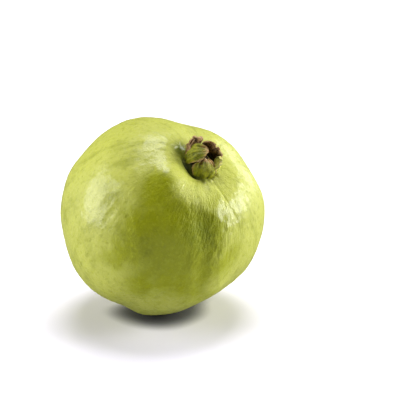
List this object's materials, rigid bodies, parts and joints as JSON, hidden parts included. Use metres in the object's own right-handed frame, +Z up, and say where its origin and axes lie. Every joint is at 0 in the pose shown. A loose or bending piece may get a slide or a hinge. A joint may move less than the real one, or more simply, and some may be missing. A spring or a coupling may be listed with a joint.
{
  "type": "guava",
  "caption": "Whole green guava lying on its flank: a lobed round body with a crown of dried sepals at its blossom end and a clipped stalk at the other.",
  "frame": {"origin": "middle of the flat resting spot on the fruit's flank, on the surface that it lies on", "axes": "+Z up; the fruit's own axis leans 38 degrees from upright, its crown end up and towards +X and -Y, 43 degrees round from +X"},
  "size_m": [0.0939, 0.0911, 0.0919],
  "materials": {
    "skin": "waxy, softly glossy yellow-green skin with fine pale mottling and low wrinkles",
    "sepal": "dull olive green, dried to tan and dark brown at the rims and inside",
    "stamen": "dry, dark brown",
    "stalk": "dull olive green with brown patches and a pale dry cut"
  },
  "bodies": {
    "root": {"fruit": "skin", "calyx": "sepal", "stamens": "stamen", "stalk": "stalk"}
  },
  "joints": []
}
